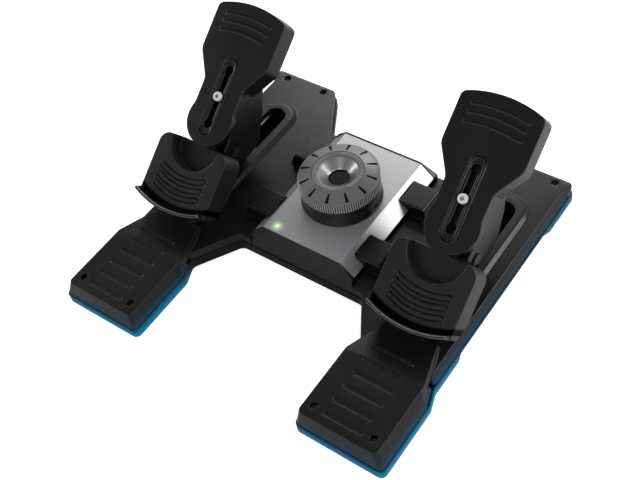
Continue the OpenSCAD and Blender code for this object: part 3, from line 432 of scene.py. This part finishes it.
print("Helpers:", [f.__name__ for f in (recolour, metal_where)])

# %% [markdown]
# A painted blue glow runs round the lowest edge of the base and fades upwards: blue
# light from below, painted into the colour.  It could be a separate strip, but the real
# tray is one moulding, so the painted glow is a mask made of three parts: height above the
# floor fades it out, distance from the middle weakens it on the bridge, and only the
# outermost band along the sides and the user's end keeps it, so that the floor of the
# tray stays black where it shows through the pedal slots.

# %% Painted blue glow at the foot of the base
bridge_blue_none, bridge_blue_full = 0.065, 0.115
side_blue_none, side_blue_full = 0.192, 0.2
near_end_full, near_end_none = -0.125, -0.098
side_fade_from, side_fade_to, side_far_share = -0.11, 0.04, 0.4
blue_roughness, blue_metallic = 0.6, 0.9


def painted_blue_glow(material, colour, full_mm, none_mm):
    """Paints a blue glow on the lowest outer walls, fully below one height and not above
    another.
    """
    tree = material.node_tree
    x, y, z = split(tree, tree.nodes["place"].outputs["Object"])
    sideways = node_math(tree, "ABSOLUTE", x)
    low = fade(tree, z, full_mm * MM, none_mm * MM)
    off_bridge = fade(tree, sideways, bridge_blue_full, bridge_blue_none)
    near = product(tree, fade(tree, y, side_fade_from, side_fade_to), 1 - side_far_share)
    near = node_math(tree, "ADD", near, side_far_share)
    flank = product(tree, fade(tree, sideways, side_blue_full, side_blue_none), near)
    outer = node_math(tree, "MAXIMUM", flank, fade(tree, y, near_end_full, near_end_none))
    mask = product(tree, low, off_bridge, outer)
    recolour(material, mask, colour, blue_roughness)
    metal_where(material, product(tree, mask, blue_metallic))


# Painted blue glow: strong on the tray, faint on the decks' lower walls.
painted_blue_glow(tray_black, (0.0, 0.36, 0.66), full_mm=-2, none_mm=19)
painted_blue_glow(deck_black, (0.0, 0.09, 0.17), full_mm=4, none_mm=27)

# %% [markdown]
# A trough runs behind the lip of each heel cup.  Shade is painted into the trough, and a
# highlight is painted on the lip in front of it.  A UV map could carry both, but they are
# arcs in the slope of the pedal, so a Mapping node turns places into that slope: across,
# up the slope and off its face.  Left and right are alike, so X is made positive first.

# %% Painted shade in the heel cup's trough and painted highlight on its lip
pedal_place = (0.1615, 0.0487, 0.131)
pedal_slope = math.radians(36)
lip_centre = 0.0227
trough_from, trough_full, trough_end = 0.109, 0.1125, 0.1172
lip_highlight_off_face = 0.0185
# Colours of the painted shade in the trough and the painted highlight on the lip's top.
trough_shade_black, lip_highlight_grey = (0.0008, 0.0008, 0.0008), (0.09, 0.09, 0.091)


def pedal_axes(tree):
    """Places in the slope of the pedal of either side: across, up the slope and off its face."""
    x, y, z = split(tree, tree.nodes["place"].outputs["Object"])
    both_sides = tree.nodes.new("ShaderNodeCombineXYZ")
    tree.links.new(node_math(tree, "ABSOLUTE", x), both_sides.inputs["X"])
    tree.links.new(y, both_sides.inputs["Y"])
    tree.links.new(z, both_sides.inputs["Z"])
    laid = tree.nodes.new("ShaderNodeMapping")
    laid.vector_type = "TEXTURE"
    laid.inputs["Location"].default_value = pedal_place
    laid.inputs["Rotation"].default_value = (pedal_slope, 0, 0)
    tree.links.new(both_sides.outputs[0], laid.inputs["Vector"])
    return split(tree, laid.outputs[0])


tree = grip_black.node_tree
across, up_slope, off_face = pedal_axes(tree)
radius = distance(tree, across, node_math(tree, "ADD", up_slope, lip_centre))
past_cup = node_math(tree, "SUBTRACT", 1.0, fade(tree, radius, trough_from, trough_full))
trough = product(tree, past_cup, node_math(tree, "LESS_THAN", radius, trough_end))
# Painted shade in the trough, kept dark by making it a black metal.
recolour(grip_black, trough, trough_shade_black, roughness=0.75)
metal_where(grip_black, trough)
# Painted highlight on the top of the lip.
lip_highlight = product(tree, node_math(tree, "GREATER_THAN", radius, trough_end),
               node_math(tree, "GREATER_THAN", off_face, lip_highlight_off_face))
recolour(grip_black, lip_highlight, lip_highlight_grey, roughness=0.3)
print("Lip of the heel cups at", round(trough_end / MM, 1), "mm from its centre")

# %% [markdown]
# A bright screw clamps each toe plate.  The socket in its head is real geometry, but a
# pale metal reflects so much into it that it would vanish, so shade is painted into it.

# %% Painted shade in the sockets of the clamp screws
socket_radius = 2.3 * MM
socket_shade_grey = (0.34, 0.34, 0.345)
tree = zinc.node_tree
across, up_slope, off_face = pedal_axes(tree)
from_middle = distance(tree, across, up_slope)
socket = product(tree, node_math(tree, "LESS_THAN", from_middle, socket_radius),
                 node_math(tree, "GREATER_THAN", off_face, 0.0))
# Painted shade in the socket of each clamp screw's head.
recolour(zinc, socket, socket_shade_grey, roughness=0.45)
print("Screw socket:", round(2 * socket_radius / MM, 1), "mm wide")

# %% [markdown]
# The housing is sheet sprayed with silver paint.  A mirror-like metal would look like
# chrome, so metallic is only partial and the roughness is fairly high.  Beside the lamp
# the paint glows green, because a small lamp shines out of its hole: a falloff on the
# distance from the lens drives the emission, which costs less than a real lamp.

# %% Silver housing and the small green lamp
halo_from, halo_to, halo_strength = 0.5 * MM, 9.5 * MM, 0.55
lens_strength = 1.6
lens_low, lens_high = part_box("led_lens")
lens_middle = (lens_low + lens_high) / 2

silver_paint = finish("silver_paint", (0.38, 0.38, 0.383), 0.38, metallic=0.45,
                      grain_mm=0.22, grain_depth=0.12, cloud=0.03, specular=0.4)
tree = silver_paint.node_tree
away = tree.nodes.new("ShaderNodeVectorMath")
away.operation = "DISTANCE"
away.inputs[1].default_value = (lens_middle.x, lens_middle.y, lens_high.z)
tree.links.new(tree.nodes["place"].outputs["Object"], away.inputs[0])
halo = product(tree, fade(tree, away.outputs["Value"], halo_from, halo_to), halo_strength)
shader = tree.nodes["Principled BSDF"]
shader.inputs["Emission Color"].default_value = (0.42, 0.95, 0.22, 1)
tree.links.new(halo, shader.inputs["Emission Strength"])
paint(silver_paint, "centre_cover")

lens_green = finish("green_lens", (0.25, 0.75, 0.2), 0.25,
                    grain_mm=0.3, grain_depth=0.05, cloud=0.05)
shader = lens_green.node_tree.nodes["Principled BSDF"]
shader.inputs["Emission Color"].default_value = (0.75, 1.0, 0.55, 1)
shader.inputs["Emission Strength"].default_value = lens_strength
paint(lens_green, "led_lens")
print("Lens at", [round(v, 4) for v in lens_middle])

# %% [markdown]
# The dial's ring is sprayed grey and turns about an upright axis.  Its marks and its
# knurl repeat round that axis, so a Mapping node first moves places to it.  The radius
# and the angle then say where on the ring a place is, as they would on a lathe.

# %% Dial ring and its axis
ring_metallic = 0.4
ring_low, ring_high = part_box("dial_ring")
dial_centre = (ring_low + ring_high) / 2


def dial_axes(tree):
    """Places measured from the dial's axis."""
    moved = tree.nodes.new("ShaderNodeMapping")
    moved.inputs["Location"].default_value = (-dial_centre.x, -dial_centre.y, 0)
    tree.links.new(tree.nodes["place"].outputs["Object"], moved.inputs["Vector"])
    return split(tree, moved.outputs[0])


dial_grey = finish("dial_grey_paint", (0.17, 0.17, 0.172), 0.36, metallic=ring_metallic,
                   grain_mm=0.25, grain_depth=0.2, cloud=0.05, specular=0.15)
tree = dial_grey.node_tree
x, y, height = dial_axes(tree)
radius = distance(tree, x, y)
angle = node_math(tree, "ARCTAN2", y, x)
paint(dial_grey, "dial_ring")
print("Dial axis at", [round(v, 4) for v in dial_centre.xy])

# %% [markdown]
# The ring's face is a shallow cone with twelve sunk wedge marks, filled with black ink.
# Painting them by hand would need an image.  Instead each mark is found by its angle:
# its half width grows with the radius, and the ink stops a little way under the face.

# %% Ink in the marks
face_rise, face_out, face_in = 0.0051, 0.0457, 0.0303
mark_in, mark_out, ink_depth = 0.0332, 0.0447, 0.0012
mark_step, first_mark = math.radians(30), math.radians(17.5)
mark_taper, mark_narrowing = 0.085, 0.0018
ink_black = (0.0015, 0.0015, 0.0016)

slope = face_rise / (face_out - face_in)
face = product(tree, node_math(tree, "SUBTRACT", face_out, radius), slope)
face = node_math(tree, "ADD", face, ring_high.z - face_rise)
depth = node_math(tree, "SUBTRACT", face, height)
in_band = product(tree, node_math(tree, "GREATER_THAN", radius, mark_in),
                  node_math(tree, "LESS_THAN", radius, mark_out))
marks = node_math(tree, "DIVIDE", angle, mark_step)
marks = node_math(tree, "SUBTRACT", marks, first_mark / mark_step)
aside = node_math(tree, "SUBTRACT", marks, node_math(tree, "ROUND", marks))
aside = product(tree, node_math(tree, "ABSOLUTE", aside), mark_step, radius)
half_width = node_math(tree, "SUBTRACT", product(tree, radius, mark_taper), mark_narrowing)
ink = product(tree, in_band, node_math(tree, "LESS_THAN", aside, half_width),
              node_math(tree, "LESS_THAN", depth, ink_depth))
recolour(dial_grey, ink, ink_black, roughness=0.6)
metal_where(dial_grey, product(tree, node_math(tree, "SUBTRACT", 1.0, ink), ring_metallic))
print("Dial face from", round(ring_high.z - face_rise, 4), "to", round(ring_high.z, 4))

# %% [markdown]
# The ring's rim is knurled for the hand.  A highlight is painted on the ridges and shade
# is painted in the grooves between them.  The ridges are real geometry, so the radius
# alone tells a crest from a groove, and nothing has to line up with the knurl's pitch.

# %% Painted highlight and shade on the knurl
knurl_in, groove_out, knurl_drop = 0.0453, 0.04622, 0.0011
# Colours of the painted highlight on the ridges and the painted shade in the grooves.
ridge_highlight_grey, groove_shade_grey = (0.5, 0.5, 0.5), (0.03, 0.03, 0.03)
under_face = node_math(tree, "LESS_THAN", height, ring_high.z - face_rise - knurl_drop)
knurl = product(tree, node_math(tree, "GREATER_THAN", radius, knurl_in), under_face)
grooves = product(tree, knurl, node_math(tree, "LESS_THAN", radius, groove_out))
# Painted highlight over the whole knurl, then painted shade in its grooves.
recolour(dial_grey, knurl, ridge_highlight_grey, roughness=0.3)
recolour(dial_grey, grooves, groove_shade_grey, roughness=0.5)
print("Grooves of the knurl:", round((groove_out - knurl_in) / MM, 2), "mm deep")

# %% [markdown]
# The insert inside the ring is spun from metal: a polished funnel, and a duller crest
# round it.  Two materials would need a split mesh, so the radius parts them here too.

# %% Dial funnel and crest
crest_in, crest_dulled, crest_grey = 0.0229, 0.6, (0.13, 0.13, 0.132)
gun_metal = finish("polished_gun_metal", (0.33, 0.33, 0.335), 0.33, metallic=1.0,
                   grain_depth=0.03, cloud=0.03, rough_spread=0.02)
tree = gun_metal.node_tree
x, y, _ = dial_axes(tree)
crest = node_math(tree, "GREATER_THAN", distance(tree, x, y), crest_in)
recolour(gun_metal, crest, crest_grey, roughness=0.5)
metal_where(gun_metal, node_math(tree, "SUBTRACT", 1.0, product(tree, crest, crest_dulled)))
paint(gun_metal, "dial_cone")
print("Materials in use:", len([m for m in bpy.data.materials if m.users]))

# %% [markdown]
# Moulded plastic has no sharp corners, because a tool can't be cut to one and a foot
# would feel it.  A CAD node comes as loose triangles, so a copy of it is made, doubles
# are merged and every steep edge is bevelled.  Dissolving the flat triangles first would
# give fewer faces, but one slip in a face with two hundred corners then fills a hole, so
# they stay.  At a hair-thin angle a bevel throws a corner far out, so a corner farther
# than 1.2 widths from the old surface is put back on it.  Weighted normals keep the big
# faces flat and only shade the rounding.

# %% Helpers for rounded mouldings
weld_gap = 0.002 * MM
stray_share = 1.2
steep = math.radians(30)
flat_face_weight = 60
body_of_node = {name: body for body, names in frame["record"]["behaviour"]["bodies"].items()
                for name in names}


def steep_edges(bm, limit):
    """Edges whose two faces turn by more than a limit."""
    return [edge for edge in bm.edges if edge.is_manifold and edge.calc_face_angle(0) > limit]


def round_edges(bm, edges, width_mm, steps):
    """Bevels edges, then puts back the odd corner that a hair-thin angle threw far out."""
    surface = BVHTree.FromBMesh(bm)
    bmesh.ops.bevel(bm, geom=edges, offset=width_mm * MM, offset_type="OFFSET", segments=steps,
                    profile=0.5, affect="EDGES", clamp_overlap=False, material=-1)
    for corner in bm.verts:
        near, _, _, gap = surface.find_nearest(corner.co)
        if gap > stray_share * width_mm * MM:
            corner.co = near


def stand_for(name, bm):
    """Turns a finished bmesh into the piece that stands for a CAD node."""
    mesh = bpy.data.meshes.new(name + "_moulding")
    bm.to_mesh(mesh)
    bm.free()
    if "custom_normal" in mesh.attributes:
        mesh.attributes.remove(mesh.attributes["custom_normal"])
    mesh.materials.clear()
    mesh.materials.append(nodes[name].data.materials[0])
    piece = bpy.data.objects.new(name + "_moulding", mesh)
    scene.collection.objects.link(piece)
    piece.modifiers.new("weighted_normals", "WEIGHTED_NORMAL").weight = flat_face_weight
    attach(piece, body_of_node[name])
    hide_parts(name)
    return piece


print("Nodes with a body:", len(body_of_node))

# %% [markdown]
# Two mouldings need care.  The lugs that reach over the housing are rounded twice as
# much as the rest of a deck, as on the real base, but their noses are too thin for any
# rounding.  The tray is rounded on its outer corners only, because the crossbar passes
# close to the inner ones at the ends of its swing.

# %% Round the mouldings
lug_in, lug_out, lug_near = 0.0609, 0.0975, -0.06
lug_foot, nose_foot = 0.036, 0.039
lug_steep, lug_round_mm = math.radians(60), 2.0
round_steps, lug_steps = 2, 3
widths = {}
for side in SIDES:
    widths.update({side + "_deck": 0.9, side + "_toe_lever": 0.9, side + "_toe_plate": 1.1,
                   side + "_heel_cup": 1.0, side + "_carriage": 0.9})
widths.update({"base_tray": 0.9, "centre_cover": 0.5, "front_end_cap": 0.6, "rear_end_cap": 0.5,
               "dial_ring": 0.25, "dial_skirt": 0.6, "dial_cone": 0.3, "dial_cap": 0.5})


def on_lug_block(at):
    """Whether a corner is on a lug, above the deck and off the lug's nose."""
    return at.z > lug_foot and lug_in < abs(at.x) < lug_out and at.y > lug_near


def on_lug_nose(at):
    """Whether a corner is on the thin nose of a deck's lug."""
    return abs(at.x) < lug_in and at.z > nose_foot


def round_lugs(bm):
    """Rounds the lugs of a deck more than the rest, and returns the edges still to do."""
    chosen = [edge for edge in steep_edges(bm, lug_steep)
              if all(on_lug_block(corner.co) for corner in edge.verts)]
    print("Edges with the wider rounding:", len(chosen))
    round_edges(bm, chosen, lug_round_mm, lug_steps)
    return [edge for edge in steep_edges(bm, steep)
            if not any(on_lug_nose(corner.co) for corner in edge.verts)]


for name, width_mm in widths.items():
    bm = bmesh.new()
    bm.from_mesh(nodes[name].data)
    bmesh.ops.remove_doubles(bm, verts=bm.verts, dist=weld_gap)
    if name.endswith("_deck"):
        edges = round_lugs(bm)
    elif name == "base_tray":
        edges = [edge for edge in steep_edges(bm, steep) if edge.is_convex]
    else:
        edges = steep_edges(bm, steep)
    round_edges(bm, edges, width_mm, round_steps)
    for face in bm.faces:
        face.smooth = True
    piece = stand_for(name, bm)
    print(piece.name, "faces", len(piece.data.polygons))
